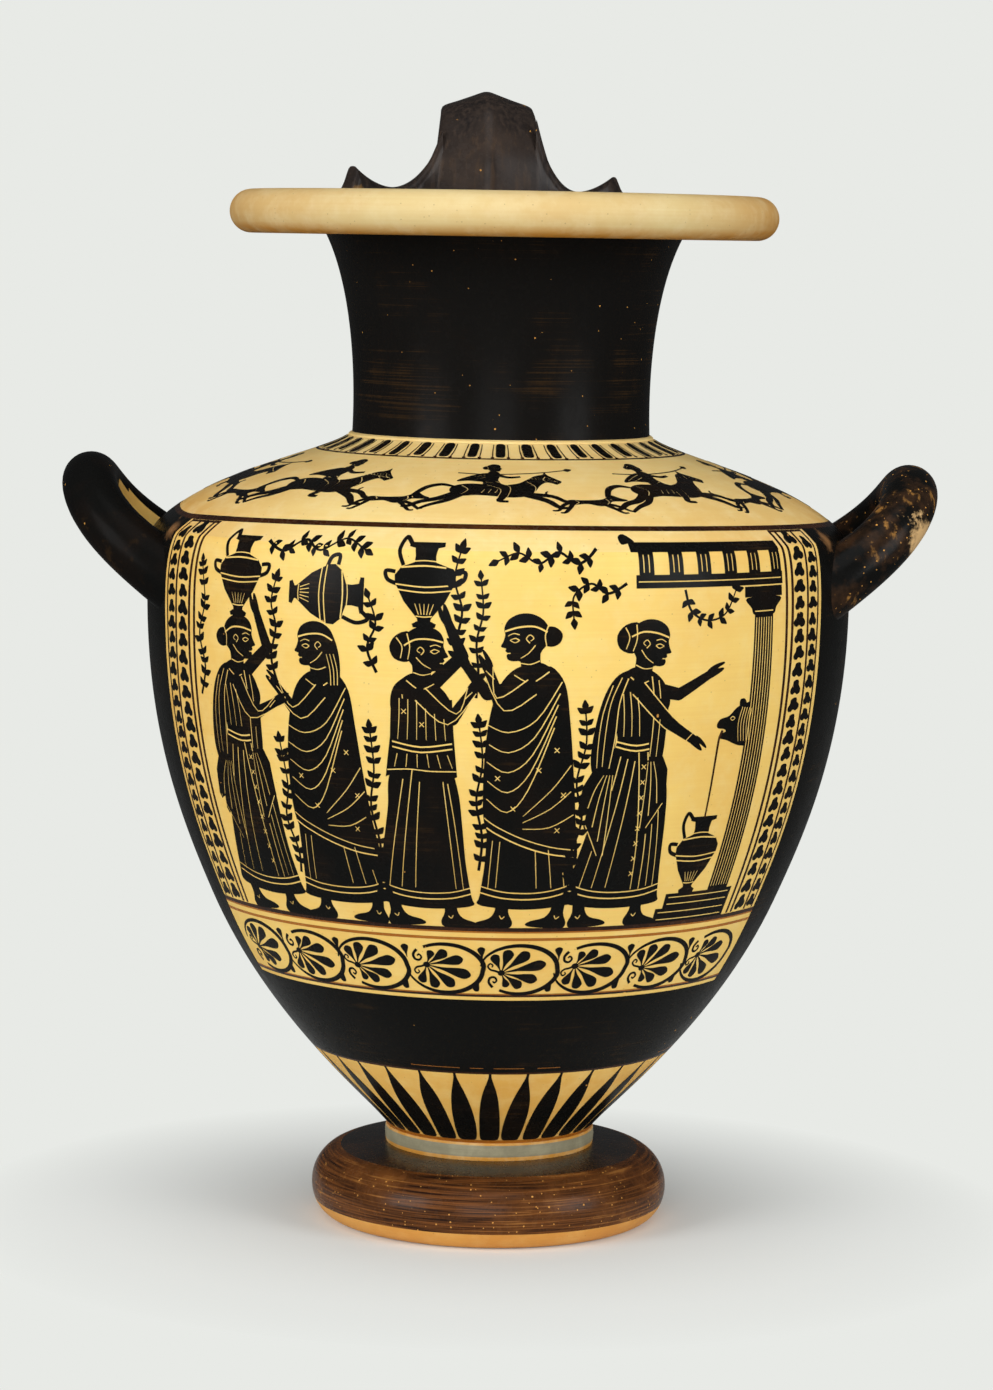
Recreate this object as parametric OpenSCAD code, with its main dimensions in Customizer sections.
// Hydria: a wheel-made water jar with two side handles and a tall back handle.
// Millimetres. The jar stands on the XY plane with its axis on Z, its painted
// front faces -Y, its back handle is at +Y and its side handles lie on the X axis.

/* [Foot] */
// Widest radius of the foot's torus
foot_r = 78.8; // [72:0.1:92]
// Height of the foot, from the floor to the seat of the fillet
foot_h = 33; // [27:0.5:40]
// Drop of the foot's top from the fillet out to its rounded edge
foot_slope_h = 2.5; // [0:0.1:5]
// Height of the foot's widest ring above the floor
foot_widest_z = 14; // [10:0.5:18]
// Outer radius of the ring that the foot stands on
rest_r = 68; // [62:0.5:70]
// Width of the ring that the foot stands on
rest_w = 11; // [7:0.5:18]
// Height of the hollow under the foot
recess_h = 21; // [12:0.5:23]

/* [Fillet] */
// Radius of the fillet that joins foot and body
fillet_r = 46; // [43:0.1:50]
// Height of the fillet
fillet_h = 7.8; // [5:0.1:12]

/* [Body] */
// Outer radius of the body where it stands on the fillet
base_r = 45; // [40:0.1:46]
// Height of the body above the fillet, up to the shoulder's edge
belly_h = 266; // [240:1:290]
// Widest radius of the body
belly_r = 153.8; // [148:0.1:170]
// Drop from the shoulder's edge to the widest ring
belly_drop = 30; // [20:1:45]
// Radius of the body at its narrowing ring
taper_r = 124.5; // [112:0.5:130]
// Height of the narrowing ring above the fillet
taper_h = 105; // [90:1:120]
// Slope of the wall at the narrowing ring
taper_slope = 66.5; // [58:0.5:72]
// Slope of the wall where it leaves the fillet
base_slope = 53.5; // [45:0.5:60]
// How far the shoulder's edge lies inside the widest ring
edge_tuck = 3.6; // [1:0.1:8]
// Thickness of the body's wall
wall = 6; // [4:0.5:8]
// Thickness of the body's floor
floor_t = 8; // [5:0.5:12]

/* [Shoulder] */
// Rise of the shoulder, from its edge to the foot of the neck
shoulder_h = 39.5; // [30:0.5:50]
// Slope of the shoulder at its edge
edge_slope = 46; // [40:1:50]
// Slope of the shoulder at the neck
shoulder_slope = 35; // [25:1:40]

/* [Neck] */
// Height of the neck
neck_h = 87; // [70:1:110]
// Outer radius of the neck at its foot
neck_base_r = 65.2; // [60:0.1:68]
// Outer radius of the neck under the mouth
neck_top_r = 77.6; // [72:0.1:88]
// Thickness of the neck's wall
neck_wall = 5.6; // [4:0.2:7]
// Width of the ridge around the foot of the neck
collar_w = 1.8; // [1:0.1:4]
// Height of the ridge around the foot of the neck
collar_h = 1.4; // [0.8:0.1:2.5]

/* [Mouth] */
// Radius of the mouth's disc
mouth_r = 119.6; // [114:0.1:130]
// Thickness of the mouth's disc
mouth_h = 18.9; // [14:0.1:19.6]
// Width of the funnel between the neck and the flat top of the mouth
funnel_w = 15; // [8:0.5:16]

/* [Side handles] */
// Radius of the bar at the grip
grip_r = 12; // [10:0.1:15]
// Radius of the bar at its roots
loop_root_r = 16; // [14:0.1:19]
// Distance from the body's widest ring to the middle of the grip
loop_stand = 25.8; // [18:0.1:36]
// Rise of the grip above the middle of the roots
loop_rise = 45.5; // [30:0.5:50]
// Drop from the shoulder's edge to the middle of the roots
loop_root_drop = 27.5; // [20:0.5:32]
// Distance between the middles of the two roots
loop_span = 92; // [84:1:104]

/* [Back handle] */
// Rise of the strap's top above the mouth
strap_rise = 48; // [40:0.5:60]
// Distance from the body's widest ring out to the strap's outermost point
strap_stand = 3.2; // [0.2:0.1:10]
// Distance from the jar's axis to the middle of the strap on the mouth
strap_rim_r = 103; // [100:0.5:105]
// Width of the strap on the mouth
strap_rim_w = 53.5; // [44:0.5:60]
// Width of the strap at its top
strap_top_w = 42; // [34:0.5:50]
// Width of the strap at its root on the shoulder
strap_root_w = 54; // [44:0.5:60]
// Thickness of the strap's edges
strap_edge_t = 8; // [6:0.5:9]
// Rise of the ridge along the middle of the strap
strap_ridge = 6.5; // [3:0.5:8]
// Turn of the back handle from the middle of the back
back_turn = 4.2; // [0:0.1:8]

/* [Rim arms] */
// Radius on which the arms lie
arm_r = 103; // [100:0.5:104]
// Width of the arms
arm_w = 10; // [8:0.5:12]
// Height of the arms against the strap
arm_root_h = 16; // [10:0.5:22]
// Height of the left arm at its lowest
saddle_left_h = 3.2; // [2:0.1:8]
// Height of the right arm at its lowest
saddle_right_h = 2.6; // [2:0.1:8]
// Height of the left spur
spur_left_h = 12.3; // [8:0.1:18]
// Height of the right spur
spur_right_h = 9.5; // [8:0.1:18]
// Angle from the strap's middle to the left spur
spur_left_angle = 38; // [32:0.5:46]
// Angle from the strap's middle to the right spur
spur_right_angle = 33; // [30:0.5:46]

/* [Hidden] */
$fn = 96;
curve_steps = 16;
gloss = [0.09, 0.08, 0.075];
clay = [0.87, 0.66, 0.36];
pale_clay = [0.92, 0.79, 0.52];
rubbed_gloss = [0.24, 0.15, 0.09];
grey_wash = [0.45, 0.42, 0.33];

// Heights of the seams, from the floor up
fillet_z = foot_h;
base_z = fillet_z + fillet_h;
edge_z = base_z + belly_h;
neck_z = edge_z + shoulder_h;
mouth_z = neck_z + neck_h;
mouth_top = mouth_z + mouth_h;

// Radii that follow from the body's and the neck's
edge_r = belly_r - edge_tuck;
shoulder_top_r = neck_base_r + collar_w;
loop_reach = belly_r + loop_stand;
strap_reach = belly_r + strap_stand;

// A cubic curve through p[0] and p[3] that heads for p[1] and comes from p[2]
function bezier(p, n = curve_steps) = [for (i = [0:n]) let (t = i / n, s = 1 - t)
    s*s*s*p[0] + 3*s*s*t*p[1] + 3*s*t*t*p[2] + t*t*t*p[3]];
function heading(angle) = [cos(angle), sin(angle)];
function without_last(v) = [for (i = [0:len(v) - 2]) v[i]];
function reversed(v) = [for (i = [len(v) - 1:-1:0]) v[i]];
function unit(v) = v / norm(v);
function mix(a, b, t) = a + (b - a) * t;

// The same curve, moved by d to the left of the way that it runs
function shifted(v, d) = [for (i = [0:len(v) - 1])
    let (along = unit(v[min(i + 1, len(v) - 1)] - v[max(i - 1, 0)])) v[i] + d * [-along.y, along.x]];

// Outer outlines as [radius, height], each from its lower to its upper seam
foot_edge = [mix(foot_r, fillet_r, 0.39), foot_h - foot_slope_h];
foot_side = concat(
    without_last(bezier([[rest_r, 0], [mix(rest_r, foot_r, 0.55), 0],
        [foot_r, 0.45 * foot_widest_z], [foot_r, foot_widest_z]])),
    bezier([[foot_r, foot_widest_z], [foot_r, mix(foot_widest_z, foot_edge.y, 0.55)],
        [mix(foot_r, foot_edge.x, 0.5), foot_edge.y - 0.8], foot_edge]), [[fillet_r + 1, foot_h]]);

taper_point = [taper_r, base_z + taper_h];
widest_z = edge_z - belly_drop;
belly_side = concat(
    without_last(bezier([[base_r, base_z], [base_r, base_z] + 0.133 * taper_h * heading(base_slope),
        taper_point - 0.593 * taper_h * heading(taper_slope), taper_point])),
    without_last(bezier([taper_point,
        taper_point + 0.253 * (widest_z - taper_point.y) * heading(taper_slope),
        [belly_r, mix(widest_z, taper_point.y, 0.469)], [belly_r, widest_z]])),
    bezier([[belly_r, widest_z], [belly_r, mix(widest_z, edge_z, 0.62)],
        [edge_r, edge_z] - 0.8 * (belly_r - edge_r) * heading(180 - edge_slope), [edge_r, edge_z]]));

shoulder_side = bezier([[edge_r, edge_z],
    [edge_r, edge_z] + 0.8 * shoulder_h * heading(180 - edge_slope),
    [shoulder_top_r, neck_z] + 0.36 * shoulder_h * heading(-shoulder_slope), [shoulder_top_r, neck_z]]);

neck_side = bezier([[neck_base_r, neck_z], [neck_base_r - 1.6, neck_z + 0.38 * neck_h],
    [mix(neck_base_r, neck_top_r, 0.19), mouth_z - 0.23 * neck_h], [neck_top_r, mouth_z]]);

// Inner outlines: the outer ones, moved in by the wall
belly_inside = shifted(belly_side, wall);
shoulder_inside = shifted(shoulder_side, wall);
neck_inside = shifted(neck_side, neck_wall);
function radius_at(v, z) = lookup(z, [for (p = v) [p.y, p.x]]);
function height_at(v, r) = lookup(r, v);

// A solid ring of the clay between an outer and an inner outline, cut level at its seams
module wall_ring(outside, inside) {
    low = outside[0].y;
    high = outside[len(outside) - 1].y;
    within = [for (p = inside) if (p.y > low + 0.5 && p.y < high - 0.5) p];
    rotate_extrude() polygon(concat(outside, [[radius_at(inside, high), high]],
        reversed(within), [[radius_at(inside, low), low]]));
}

// The jar's outer form without its hollow, which trims whatever stands on it
module body_mass() {
    rotate_extrude() polygon(concat([[0, base_z]], belly_side, shoulder_side, [[0, neck_z]]));
}

// A tube or strap: one closed outline per ring, joined ring to ring
module lofted(rings) {
    n = len(rings[0]);
    last = len(rings) - 1;
    polyhedron(
        points = [for (r = rings) each r],
        faces = concat(
            [[for (i = [n - 1:-1:0]) i]],
            [for (k = [0:last - 1]) for (i = [0:n - 1]) let (j = (i + 1) % n)
                each [[k*n + i, k*n + j, (k + 1)*n + j], [k*n + i, (k + 1)*n + j, (k + 1)*n + i]]],
            [[for (i = [0:n - 1]) last*n + i]]));
}

module foot() {
    recess_r = rest_r - rest_w;
    color(rubbed_gloss) difference() {
        rotate_extrude() polygon(concat([[0, 0]], foot_side, [[0, foot_h]]));
        rotate_extrude() polygon([[0, -1], [recess_r, -1], [recess_r, 0],
            [0.95 * recess_r, 0.45 * recess_h], [0.66 * recess_r, 0.9 * recess_h], [0, recess_h]]);
    }
}

module foot_fillet() {
    bulge = 0.6;
    color(grey_wash) rotate_extrude() polygon(concat([[0, fillet_z]],
        bezier([[fillet_r, fillet_z], [fillet_r + bulge, mix(fillet_z, base_z, 0.2)],
            [fillet_r + bulge, mix(fillet_z, base_z, 0.8)], [fillet_r, base_z]], 6),
        [[0, base_z]]));
}

module belly() {
    floor_z = base_z + floor_t;
    within = [for (p = belly_inside) if (p.y > floor_z + 1 && p.y < edge_z - 0.5) p];
    color(clay) rotate_extrude() polygon(concat([[0, base_z]], belly_side,
        [[radius_at(belly_inside, edge_z), edge_z]], reversed(within),
        [[radius_at(belly_inside, floor_z), floor_z], [0, floor_z]]));
}

module shoulder() {
    color(clay) wall_ring(shoulder_side, shoulder_inside);
}

module neck_collar() {
    outer_r = shoulder_top_r - 0.2;
    hidden_r = neck_base_r - 2;
    color(pale_clay) difference() {
        rotate_extrude() polygon([[hidden_r, neck_z], [outer_r, neck_z],
            [outer_r, neck_z + 0.45 * collar_h], [mix(neck_base_r, outer_r, 0.5), neck_z + 0.9 * collar_h],
            [neck_base_r - 0.5, neck_z + collar_h], [hidden_r, neck_z + collar_h]]);
        neck_mass();
    }
}

module neck_mass() {
    rotate_extrude() polygon(concat([[0, neck_z]], neck_side, [[0, mouth_z]]));
}

module neck() {
    color(gloss) wall_ring(neck_side, neck_inside);
}

// The mouth's outer form without its bore
module mouth_mass() {
    edge = mouth_h / 2;
    rotate_extrude() polygon(concat([[0, mouth_z]],
        [for (a = [-90:10:90]) [mouth_r - edge, mouth_z + edge] + edge * heading(a)],
        [[0, mouth_top]]));
}

module mouth() {
    bore_r = radius_at(neck_inside, mouth_z);
    color(pale_clay) difference() {
        mouth_mass();
        rotate_extrude() polygon(concat([[0, mouth_z - 1], [bore_r, mouth_z - 1]],
            bezier([[bore_r, mouth_z], [bore_r + 0.3 * funnel_w, mouth_z + 0.5 * mouth_h],
                [bore_r + 0.55 * funnel_w, mouth_top], [bore_r + funnel_w, mouth_top]], 10),
            [[bore_r + funnel_w, mouth_top + 1], [0, mouth_top + 1]]));
    }
}

// The side handle's middle line: t runs from one root at -90 to the other at 90.
// Its ends lie well inside the body, which trims them
loop_sunk = 24;
loop_root_z = edge_z - loop_root_drop;
loop_root_x = belly_r - loop_sunk;
loop_profile = [[loop_root_x, loop_root_z],
    [mix(loop_root_x, loop_reach, 0.345), loop_root_z + 0.235 * loop_rise],
    [mix(loop_root_x, loop_reach, 0.86), loop_root_z + 0.576 * loop_rise],
    [loop_reach, loop_root_z + loop_rise]];
function cubic_at(p, t) = let (s = 1 - t)
    s*s*s*p[0] + 3*s*s*t*p[1] + 3*s*t*t*p[2] + t*t*t*p[3];
function loop_point(t) = let (q = cubic_at(loop_profile, cos(t))) [q.x, loop_span / 2 * sin(t), q.y];
function loop_radius(t) = mix(grip_r, loop_root_r, pow(1 - cos(t), 2.5));
function round_ring(centre, along, up, r, n) =
    let (side = unit(cross(along, up)), top = cross(side, along))
    [for (i = [0:n - 1]) let (a = 360 * i / n) centre + r * (cos(a) * side + sin(a) * top)];

module side_loop() {
    sides = 24;
    step = 5;
    lean = [-0.7, 0, 0.71]; // square to the loop's plane, so that the rings don't twist
    color(gloss) difference() {
        lofted([for (t = [-90:step:90]) round_ring(loop_point(t),
            unit(loop_point(t + 1) - loop_point(t - 1)), lean, loop_radius(t), sides)]);
        body_mass();
    }
}

module handle_right() {
    side_loop();
}

module handle_left() {
    mirror([1, 0, 0]) side_loop();
}

// The strap's middle line as [distance from the axis, height]: up from the mouth,
// over the top, down to its outermost point and in to the shoulder
strap_out_t = strap_edge_t / 2 + strap_ridge;
strap_top = [mix(strap_rim_r, strap_reach, 0.42), mouth_top + strap_rise - strap_out_t];
strap_far = [strap_reach - strap_out_t, mouth_z];
strap_sunk = 4; // the strap's root lies this far inside the shoulder
strap_root = [0.8 * edge_r, height_at(shoulder_side, 0.8 * edge_r) - strap_sunk];
strap_line = concat(
    without_last(bezier([[strap_rim_r, mouth_top], [strap_rim_r, mix(mouth_top, strap_top.y, 0.55)],
        [mix(strap_rim_r, strap_top.x, 0.35), strap_top.y], strap_top], 8)),
    without_last(bezier([strap_top, [mix(strap_top.x, strap_far.x, 0.6), strap_top.y],
        [strap_far.x, mix(strap_far.y, strap_top.y, 0.6)], strap_far], 10)),
    bezier([strap_far, [strap_far.x, mix(strap_far.y, strap_root.y, 0.4)],
        strap_root + 0.35 * (strap_far.y - strap_root.y) * heading(48), strap_root], 10));

// Half of the strap's section as [across, outwards]: a rounded edge that rises to the ridge
function strap_section(w) = let (h = w / 2, e = strap_edge_t / 2)
    [[h - 2.5, -e], [h - 0.7, 0.8 - e], [h, 2.5 - e], [h, e - 2.5], [h - 0.7, e - 0.8],
     [h - 2.5, e + 0.3], [0.3 * h, e + 0.72 * strap_ridge], [0.1 * h, e + 0.97 * strap_ridge]];
function whole_section(w) = let (half = strap_section(w))
    concat(half, [for (p = reversed(half)) [-p.x, p.y]]);
function strap_width(f) = f < 0.35 ? mix(strap_rim_w, strap_top_w, sin(90 * f / 0.35))
    : mix(strap_top_w, strap_root_w, pow((f - 0.35) / 0.65, 3));

module strap_mass() {
    last = len(strap_line) - 1;
    rotate([0, 0, back_turn]) lofted([for (k = [0:last])
        let (p = strap_line[k],
            along = k == 0 ? [0, 1] : unit(strap_line[min(k + 1, last)] - strap_line[k - 1]),
            out = [-along.y, along.x])
        [for (q = whole_section(strap_width(k / last))) [q.x, p.x + q.y * out.x, p.y + q.y * out.y]]]);
}

module handle_back() {
    color(rubbed_gloss) difference() {
        strap_mass();
        body_mass();
    }
}

// One arm along the mouth, to the left of the strap: it starts inside the strap, dips,
// rises to the spur and ends in a leaning face
module arm_mass(spur_h, spur_angle, saddle_h) {
    strap_edge = asin(strap_rim_w / 2 / arm_r);
    start = strap_edge - 4;
    end_lean = 2;
    dip = mix(start, spur_angle, 0.56);
    function arm_height(a) = a > spur_angle ? 0.1 * spur_h
        : a < dip ? mix(saddle_h, arm_root_h, pow(min(1, (dip - a) / (dip - strap_edge)), 2.2))
        : mix(saddle_h, spur_h, pow((a - dip) / (spur_angle - dip), 1.8));
    // The arm narrows where it runs into the strap
    function arm_half(a) = arm_w / 2 * mix(0.45, 1, min(1, (a - start) / 7));
    stations = concat([for (i = [0:16]) mix(start, spur_angle, i / 16)], [spur_angle + end_lean]);
    lofted([for (a = stations) let (h = arm_height(a), w = arm_half(a))
        [for (q = [[w, 0], [w, 0.3 * h], [0.8 * w, 0.75 * h], [0.35 * w, h],
                [-0.35 * w, h], [-0.8 * w, 0.75 * h], [-w, 0.3 * h], [-w, 0]])
            [-(arm_r + q.x) * sin(a), (arm_r + q.x) * cos(a), mouth_top + q.y]]]);
}

module rim_arm_left() {
    color(rubbed_gloss) difference() {
        rotate([0, 0, back_turn]) arm_mass(spur_left_h, spur_left_angle, saddle_left_h);
        strap_mass();
    }
}

module rim_arm_right() {
    color(rubbed_gloss) difference() {
        rotate([0, 0, back_turn]) mirror([1, 0, 0]) arm_mass(spur_right_h, spur_right_angle, saddle_right_h);
        strap_mass();
    }
}

foot();
foot_fillet();
belly();
shoulder();
neck_collar();
neck();
mouth();
handle_left();
handle_right();
handle_back();
rim_arm_left();
rim_arm_right();
